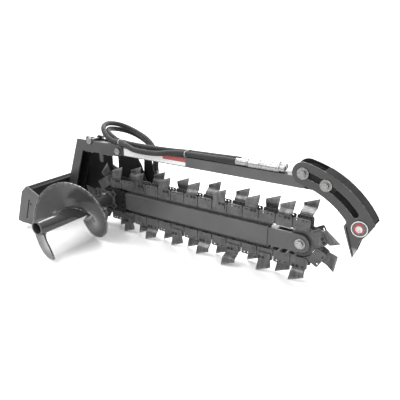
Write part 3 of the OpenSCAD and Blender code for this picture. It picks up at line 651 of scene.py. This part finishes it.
def make_hoses():
    """Both hoses with their couplers, and the ties that go with the first."""
    made = []
    for name, route, seed in (("pressure", ROUTE_PRESSURE, 0.0), ("return", ROUTE_RETURN, 7.3)):
        hose, path = make_hose("hose_" + name, route, seed)
        coupler = make_coupler("coupler_" + name, route[-2][0], *COUPLERS[name])
        made.append((hose, route, path, coupler))
    paths = [path for hose, route, path, coupler in made]
    ties = [make_tie(name, paths, x) for name, x in TIES.items()]
    for hose, route, path, coupler in made:
        ties = []


make_hoses()


# ------------------------------------------------------------------ CAD copies with worked edges

SHARP, CREASE = math.radians(32), math.radians(50)


def mark_wear(bm, width):
    """Rounds a bmesh's sharp edges and marks the rounded strips for wear."""
    edge = bm.verts.layers.float.get("edge") or bm.verts.layers.float.new("edge")
    sharp = [e for e in bm.edges if len(e.link_faces) == 2 and e.calc_face_angle(0) > SHARP]
    made = bmesh.ops.bevel(bm, geom=sharp, offset=width, segments=2, profile=0.5, affect="EDGES",
                           clamp_overlap=False)
    faces = set(made["faces"])
    for vert in made["verts"]:
        if all(face in faces for face in vert.link_faces):
            vert[edge] = 1.0
    for e in bm.edges:
        if len(e.link_faces) == 2 and e.calc_face_angle(0) > CREASE:
            e.smooth = False


def round_corners(bm, radius):
    """Rounds the long outer corners of a square tube, as drawn tube has them."""
    ys = [v.co.y for v in bm.verts]
    zs = [v.co.z for v in bm.verts]
    corners = [(y, z) for y in (min(ys), max(ys)) for z in (min(zs), max(zs))]
    long = []
    for e in bm.edges:
        a, b = (v.co for v in e.verts)
        outer = all(any(abs(p.y - y) < 1e-5 and abs(p.z - z) < 1e-5 for y, z in corners) for p in (a, b))
        if outer and abs(a.x - b.x) > 0.05:
            long.append(e)
    bmesh.ops.bevel(bm, geom=long, offset=radius, segments=4, profile=0.5, affect="EDGES")


def soften(node, width, corner):
    """New piece in a CAD node's place: the same solid with its edges rounded and marked for wear."""
    source = frame["nodes"][node]
    bm = bmesh.new()
    bm.from_mesh(source.data)
    bmesh.ops.remove_doubles(bm, verts=bm.verts, dist=2e-6)
    bmesh.ops.dissolve_limit(bm, angle_limit=math.radians(0.6), verts=bm.verts, edges=bm.edges)
    if corner:
        round_corners(bm, corner)
    mark_wear(bm, width)
    look = LOOKS.get(node) or SLOTS[SLOT_OF[node]]
    return smooth(new_object(node + "_worked", bm, look, source["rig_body"], (node,)))


# Nodes that get their own mesh code, nodes whose look isn't their slot's, and special edges
MADE_ELSEWHERE = {"hose_pressure", "hose_return", "coupler_pressure", "coupler_return",
                  "teeth_near", "teeth_far", "auger_flight", "auger_tube", "crumber_cap"}
LOOKS = {"tooth_bolts": BLACK_BOLT_HOLE_SHADE, "mount_hook": HOOK_SHADE_PAINT, "head_bolts": SHADED_ZINC,
         "crumber_plate_near": TIP_PAINT, "idler_axle": BRIGHT_ZINC}
# These parts take the black paint darkened as painted shade
LOOKS.update({name: SHADED_BLACK_PAINT for name in (
    "mount_plate", "back_plate", "main_plate", "side_plate_far", "arm_bridge", "head_plate_near",
    "head_plate_far", "hub_housing", "motor_body", "hose_post", "crumber_rim", "crumber_plate_far",
    "arm_end_bracket")})
TUBE_CORNERS = {"boom_tube": 0.0045, "arm_tube": 0.0035}
EDGE_WIDTHS = {"crumber_plate_near": 0.0022}
EDGE_WIDTH = 0.0009
for cad_node in sorted(frame["nodes"]):
    if cad_node not in MADE_ELSEWHERE:
        soften(cad_node, EDGE_WIDTHS.get(cad_node, EDGE_WIDTH), TUBE_CORNERS.get(cad_node, 0.0))


# ------------------------------------------------------------------ teeth

# Chain: links on each straight run, links round each end, and the distance of their flats from its axis
PITCH = 0.042
STRAIGHT_LINKS = 27
END_LINKS = 6
LINK_TURN = 180 / END_LINKS
FLAT_R = PITCH / 2 / math.tan(math.radians(LINK_TURN / 2))
LINKS = 2 * (STRAIGHT_LINKS + END_LINKS)


def link_matrix(i):
    """Placement of link i: its own origin is on the pin line, X along the link and Z outwards."""
    low = END_LINKS + STRAIGHT_LINKS
    top = low + END_LINKS
    if i <= END_LINKS:
        x, turn = NOSE.x, LINK_TURN * i
    elif i <= low:
        x, turn = NOSE.x - PITCH * (i - END_LINKS), 180
    elif i <= top:
        x, turn = DRIVE.x, 180 + LINK_TURN * (i - low)
    else:
        x, turn = DRIVE.x + PITCH * (i - top), 0
    return (Matrix.Translation((x, 0, DRIVE.z)) @ Matrix.Rotation(math.radians(turn), 4, "Y")
            @ Matrix.Translation((0, 0, FLAT_R)))


def islands(mesh):
    """Separate solids of a mesh, each as a list of its points."""
    bm = bmesh.new()
    bm.from_mesh(mesh)
    bmesh.ops.remove_doubles(bm, verts=bm.verts, dist=2e-6)
    seen = set()
    found = []
    for start in bm.verts:
        if start in seen:
            continue
        seen.add(start)
        stack, group = [start], []
        while stack:
            vert = stack.pop()
            group.append(vert.co.copy())
            for e in vert.link_edges:
                other = e.other_vert(vert)
                if other not in seen:
                    seen.add(other)
                    stack.append(other)
        found.append(group)
    bm.free()
    return found


# Tooth in its link's axes: half its plate's thickness, the heights where its bend starts and ends,
# half the foot's width, the blade's two sides at the bend's end, and the two ends of its cutting edge
BLADE_HALF = 0.003
NECK_Z, SHELF_Z = 0.046, 0.071
FOOT_HALF = 0.031
SHELF_BACK, SHELF_FRONT = -0.0306, 0.0358
TIP_BACK = Vector((-0.0315, 0.0838))
TIP_FRONT = Vector((0.0435, 0.1134))
# Rows of a tooth's mesh as shares of its height: 0 at its foot, 1 at the bend's end, 2 at its tip
ROW_SHARES = ([0, 0.25, 0.5] + [0.5 + 0.5 * k / 10 for k in range(1, 11)]
              + [1.12, 1.35, 1.6, 1.8, 1.9, 1.96, 2])
COLUMNS = 9


def blade_point(u, share, low):
    """(x, z) on a tooth's face: u runs across its width and share up its height."""
    if share <= 1:
        z = low + (SHELF_Z - low) * share
        left = -FOOT_HALF + (SHELF_BACK + FOOT_HALF) * share
        widening = max(0.0, (z - NECK_Z) / (SHELF_Z - NECK_Z))
        right = FOOT_HALF + (SHELF_FRONT - FOOT_HALF) * widening
        return Vector((left + (right - left) * u, z))
    start = Vector((SHELF_BACK + (SHELF_FRONT - SHELF_BACK) * u, SHELF_Z))
    return start.lerp(TIP_BACK.lerp(TIP_FRONT, u), share - 1)


def blade_side(z, shift):
    """Sideways place of a tooth's middle surface at height z: level, a soft S-bend, level again."""
    t = min(1.0, max(0.0, (z - NECK_Z + 0.001) / (SHELF_Z - NECK_Z + 0.002)))
    return shift * t * t * (3 - 2 * t)


def blade_slope(z, shift):
    """How fast a tooth's middle surface moves sideways with height."""
    step = 0.001
    return (blade_side(z + step, shift) - blade_side(z - step, shift)) / (2 * step)


def blade_half(share):
    """Half of a tooth's thickness, less towards the ground cutting edge."""
    if share <= 1.75:
        return BLADE_HALF
    return BLADE_HALF * (1 - 0.62 * (share - 1.75) / 0.25)


def blade_wear_and_highlight(z, share, shift):
    """How bright a tooth is made: a painted highlight on the bend's face, and wear towards the tip."""
    bend = max(0.0, 1 - abs(z - (NECK_Z + SHELF_Z) / 2) / 0.013)
    return max(0.8 * bend * min(1.0, abs(shift) / 0.02), min(1.0, (share - 1.3) / 0.7))


def tooth_face(bm, place, base, shift, low, seed, face):
    """Rows of points of one face of a tooth; face is -1 or 1."""
    worn = bm.verts.layers.float.get("worn") or bm.verts.layers.float.new("worn")
    rows = []
    for share in ROW_SHARES:
        row = []
        for c in range(COLUMNS):
            u = c / (COLUMNS - 1)
            x, z = blade_point(u, share, low)
            normal = Vector((1, -blade_slope(z, shift))).normalized() * (face * blade_half(share))
            nick = 0.0
            if share == ROW_SHARES[-1]:
                nick = 0.0012 * max(0.0, noise.noise(Vector((u * 6, seed * 3.1, 0))))
            y = base + blade_side(z, shift) + normal.x
            vert = bm.verts.new(place @ Vector((x, y, z + normal.y - nick)))
            # The tooth's brightening: a painted highlight on the bend's face, wear towards the tip
            vert[worn] = blade_wear_and_highlight(z, share, shift)
            row.append(vert)
        rows.append(row)
    return rows


def add_tooth(bm, place, base, tip, low, seed):
    """One forged tooth: bent blade with a ground bevel and a slightly uneven cutting edge, bright with wear.
    """
    a, b = (tooth_face(bm, place, base, tip - base, low, seed, face) for face in (-1, 1))
    last = len(ROW_SHARES) - 1
    for rows, flip in ((a, False), (b, True)):
        for r in range(last):
            for c in range(COLUMNS - 1):
                quad = (rows[r][c], rows[r][c + 1], rows[r + 1][c + 1], rows[r + 1][c])
                bm.faces.new(quad[::-1] if flip else quad)
    rim = [(0, c) for c in range(COLUMNS)]
    rim += [(r, COLUMNS - 1) for r in range(1, last + 1)]
    rim += [(last, c) for c in range(COLUMNS - 2, -1, -1)]
    rim += [(r, 0) for r in range(last - 1, 0, -1)]
    for (r0, c0), (r1, c1) in zip(rim, rim[1:] + rim[:1]):
        bm.faces.new((a[r1][c1], a[r0][c0], b[r0][c0], b[r1][c1]))


def middle_y(points):
    """Middle of the points' spread sideways."""
    return (min(p.y for p in points) + max(p.y for p in points)) / 2


def make_teeth(node):
    """All the teeth of one side, each bent as far sideways as its CAD solid."""
    bm = bmesh.new()
    places = [link_matrix(i) for i in range(0, LINKS, 2)]
    for solid in islands(frame["nodes"][node].data):
        middle = sum(solid, Vector()) / len(solid)
        middle.y = 0
        place = min(places, key=lambda m: (m @ Vector((0.004, 0, 0.06)) - middle).length)
        local = [place.inverted() @ p for p in solid]
        base = middle_y([p for p in local if p.z < 0.03])
        tip = middle_y([p for p in local if p.z > 0.078])
        add_tooth(bm, place, base, tip, min(p.z for p in local), places.index(place))
    mark_wear(bm, 0.0007)
    smooth(new_object(node + "_blades", bm, TOOTH_STEEL, body_of(node), (node,)))


# ------------------------------------------------------------------ auger

# Flighting: radius, rise of a turn, turns, where it starts round and along the axis, thickness,
# and the rounding of its leading corner
FLIGHT_R, FLIGHT_PITCH, FLIGHT_TURNS = 0.1775, 0.323, 1.2
FLIGHT_START, FLIGHT_Y0, FLIGHT_T = -62, -0.531, 0.008
CORNER_R = 0.024
# The flighting's mesh: steps along it and columns from the tube to its rim
STEPS, WIDTH_COLUMNS = 220, 12
# Tube: radii and its two ends along the axis
TUBE_R, BORE_R = 0.038, 0.028
TUBE_START, TUBE_END = -0.549, -0.062


def flight_place(turn, r, y):
    """Point of the flighting: turn in degrees from its leading edge, r from the axis, y along it."""
    a = math.radians(FLIGHT_START - turn)
    return DRIVE + Vector((r * math.cos(a), FLIGHT_Y0 + FLIGHT_PITCH * turn / 360 + y, r * math.sin(a)))


def flight_rim(turn):
    """Outer radius of the flighting, drawn in along its rounded leading corner."""
    travelled = math.radians(turn) * FLIGHT_R
    if travelled >= CORNER_R:
        return FLIGHT_R
    return FLIGHT_R - CORNER_R + math.sqrt(CORNER_R ** 2 - (CORNER_R - travelled) ** 2)


def flight_face(bm, side):
    """Rows of points of one face of the flighting, slightly hammered, with a chamfered rim marked bright for
    wear and for a painted highlight.
    """
    edge = bm.verts.layers.float["edge"]
    # The rim's bright marks: partly wear, partly a painted highlight along the rim
    brightened = {WIDTH_COLUMNS: 1.0, WIDTH_COLUMNS - 1: 0.35}
    rows = []
    for i in range(STEPS + 1):
        turn = 360 * FLIGHT_TURNS * i / STEPS
        rim = flight_rim(turn)
        row = []
        for c in range(WIDTH_COLUMNS + 1):
            r = TUBE_R + (rim - TUBE_R) * (c / WIDTH_COLUMNS)
            if c == WIDTH_COLUMNS - 1:
                r = rim - 0.0035
            inset = 0.0012
            if c < WIDTH_COLUMNS:
                inset = 0.0
            y = FLIGHT_T - inset if side else inset
            if c < WIDTH_COLUMNS:
                y += 0.0009 * noise.noise(Vector((r * 22, turn / 24, side * 5)))
            vert = bm.verts.new(flight_place(turn, r, min(max(y, 0.0002), FLIGHT_T - 0.0002)))
            vert[edge] = brightened.get(c, 0.0)
            row.append(vert)
        rows.append(row)
    return rows


def make_flight():
    """Rolled flighting: two faces joined along the tube, along the rim and at both ends."""
    bm = worn_mesh()
    a, b = (flight_face(bm, side) for side in (0, 1))
    for i in range(STEPS):
        for c in range(WIDTH_COLUMNS):
            bm.faces.new((a[i][c], a[i][c + 1], a[i + 1][c + 1], a[i + 1][c]))
            bm.faces.new((b[i + 1][c], b[i + 1][c + 1], b[i][c + 1], b[i][c]))
        for c, flip in ((0, True), (WIDTH_COLUMNS, False)):
            quad = (a[i + 1][c], a[i][c], b[i][c], b[i + 1][c])
            bm.faces.new(quad[::-1] if flip else quad)
    for i, flip in ((0, False), (STEPS, True)):
        for c in range(WIDTH_COLUMNS):
            quad = (a[i][c + 1], a[i][c], b[i][c], b[i][c + 1])
            bm.faces.new(quad[::-1] if flip else quad)
    bmesh.ops.recalc_face_normals(bm, faces=bm.faces)
    look = SLOTS[SLOT_OF["auger_flight"]]
    smooth(new_object("auger_flight_rolled", bm, look, body_of("auger_flight"), ("auger_flight",)))


def weld_bead(bm, path, radius, seed):
    """Rippled weld bead along a path."""
    def ripple(along):
        wander = noise.noise(Vector((along * 90, seed, 0)))
        return radius * (0.86 + 0.14 * math.sin(along * 1700) + 0.16 * wander)

    tube(bm, path, ripple, sides=10)


def make_auger_tube():
    """Turned tube with a small chamfer round its open end."""
    bm = bmesh.new()
    profile = [(BORE_R, TUBE_END), (TUBE_R, TUBE_END), (TUBE_R, TUBE_START + 0.0015),
               (TUBE_R - 0.0015, TUBE_START), (BORE_R + 0.001, TUBE_START), (BORE_R, TUBE_START + 0.001),
               (BORE_R, TUBE_END)]
    lathe(bm, profile, DRIVE, (0, 1, 0), sides=72)
    bmesh.ops.remove_doubles(bm, verts=bm.verts, dist=1e-6)
    bm.verts.layers.float.new("edge")
    bmesh.ops.recalc_face_normals(bm, faces=bm.faces)
    look = SLOTS[SLOT_OF["auger_tube"]]
    smooth(new_object("auger_tube_turned", bm, look, body_of("auger_tube"), ("auger_tube",)))


def make_auger_welds():
    """Bead on each side of the flighting's foot, all the way round the tube."""
    bm = worn_mesh()
    for seed, y in ((1.5, -0.0008), (6.5, FLIGHT_T + 0.0008)):
        path = [flight_place(turn, TUBE_R + 0.0008, y) for turn in range(1, int(360 * FLIGHT_TURNS), 2)]
        weld_bead(bm, path, 0.0032, seed)
    smooth(new_object("auger_welds", bm, WELD_GLINTS, body_of("auger_tube")))


make_teeth("teeth_near")
make_teeth("teeth_far")
make_auger_tube()
make_auger_welds()
make_flight()


# ------------------------------------------------------------------ crumber cap and welds

# Outer face of the near crumber plate, and the outer radius of both plates about the slot's centre
CAP_FACE_Y = -0.038
CRUMBER_R = 0.47
# Beads along the crumber's two plates: seed and sideways place
CRUMBER_BEADS = ((2.5, -0.0372), (4.5, 0.0372))
# Beads on the lower outer corner of the near side plate: seed, start and end along X
PLATE_BEADS = ((8.5, 0.205, 0.268), (9.5, 0.345, 0.412))
PLATE_CORNER = (-0.0395, 0.2860)


def make_cap():
    """Moulded cap with a raised rim, a sunk field, a low ring and a small hub."""
    bm = bmesh.new()
    rim = [(0, 0), (0.034, 0), (0.034, 0.006), (0.033, 0.007), (0.0312, 0.007), (0.0304, 0.0052)]
    ring = [(0.0215, 0.0052), (0.0205, 0.0062), (0.0152, 0.0062)]
    hub = [(0.0149, 0.009), (0.0138, 0.010), (0.009, 0.010), (0.008, 0.0088), (0, 0.0088)]
    lathe(bm, rim + ring + hub, (CAP_X, CAP_FACE_Y, CAP_Z), (0, -1, 0), sides=64)
    bmesh.ops.recalc_face_normals(bm, faces=bm.faces)
    smooth(new_object("crumber_cap_moulded", bm, CAP, body_of("crumber_cap"), ("crumber_cap",)))


def make_crumber_welds():
    """Bead along each plate's outer edge, where the curved back plate is welded in."""
    bm = worn_mesh()
    for seed, y in CRUMBER_BEADS:
        turns = [math.radians(67 - 0.5 * k) for k in range(71)]
        path = [SLOT_CENTRE + Vector((CRUMBER_R * math.cos(a), y, CRUMBER_R * math.sin(a))) for a in turns]
        weld_bead(bm, path, 0.0013, seed)
    smooth(new_object("crumber_welds", bm, WELD_GLINTS, body_of("crumber_rim")))


def make_frame_welds():
    """Two short beads under the near side plate, whose bright spots are painted glints."""
    bm = worn_mesh()
    for seed, start, end in PLATE_BEADS:
        a, b = Vector((start, *PLATE_CORNER)), Vector((end, *PLATE_CORNER))
        weld_bead(bm, [a.lerp(b, k / 30) for k in range(31)], 0.0036, seed)
    smooth(new_object("frame_welds", bm, WELD_GLINTS, body_of("side_plate_near")))


make_cap()
make_crumber_welds()
make_frame_welds()


# ------------------------------------------------------------------ floor and light

FLOOR_HALF = 30
# Lights: place, the point each one faces, width and height in metres, watts
MIDDLE = (0.9, 0, 0.1)
LIGHTS = {"key": ((0.1, -1.9, 2.6), MIDDLE, (1.6, 1.2), 45),
          "top": ((1.0, 0.5, 2.8), MIDDLE, (2.4, 0.8), 50),
          "back": ((-2.4, 5.1, 2.6), (0.9, 0, 0.3), (3.4, 1.4), 170),
          "streak": ((0.0, 1.04, 2.22), (0.2, -0.35, 0.03), (0.8, 0.9), 34)}


def make_floor():
    """Plain white floor just under the object's lowest point."""
    bm = bmesh.new()
    bmesh.ops.create_grid(bm, x_segments=8, y_segments=8, size=FLOOR_HALF)
    bmesh.ops.translate(bm, verts=bm.verts, vec=(MIDDLE[0], 0, cad_low[2] - 0.001))
    mesh = bpy.data.meshes.new("floor")
    bm.to_mesh(mesh)
    bm.free()
    s = Shader("floor_white")
    cloud = s.span(s.noise(0.4, 3), 0.3, 0.7)
    s.set(Base_Color=s.mix(cloud, grey(0.955), grey(0.975)), Roughness=0.9)
    mesh.materials.append(s.material)
    floor = bpy.data.objects.new("floor", mesh)
    bpy.context.scene.collection.objects.link(floor)


def add_light(name, location, target, size, energy):
    """Soft rectangular light that faces a point."""
    data = bpy.data.lights.new(name, "AREA")
    data.shape = "RECTANGLE"
    data.size, data.size_y = size
    data.energy = energy
    light = bpy.data.objects.new(name, data)
    light.location = location
    light.rotation_euler = (Vector(target) - Vector(location)).to_track_quat("-Z", "Y").to_euler()
    bpy.context.scene.collection.objects.link(light)


def make_light():
    """White studio surroundings and the lights."""
    world = bpy.data.worlds.new("studio")
    world.use_nodes = True
    background = world.node_tree.nodes["Background"]
    background.inputs["Color"].default_value = (1, 1, 1, 1)
    background.inputs["Strength"].default_value = 1.05
    bpy.context.scene.world = world
    bpy.context.scene.view_settings.view_transform = "Standard"
    for name, light in LIGHTS.items():
        add_light(name, *light)


make_floor()
make_light()
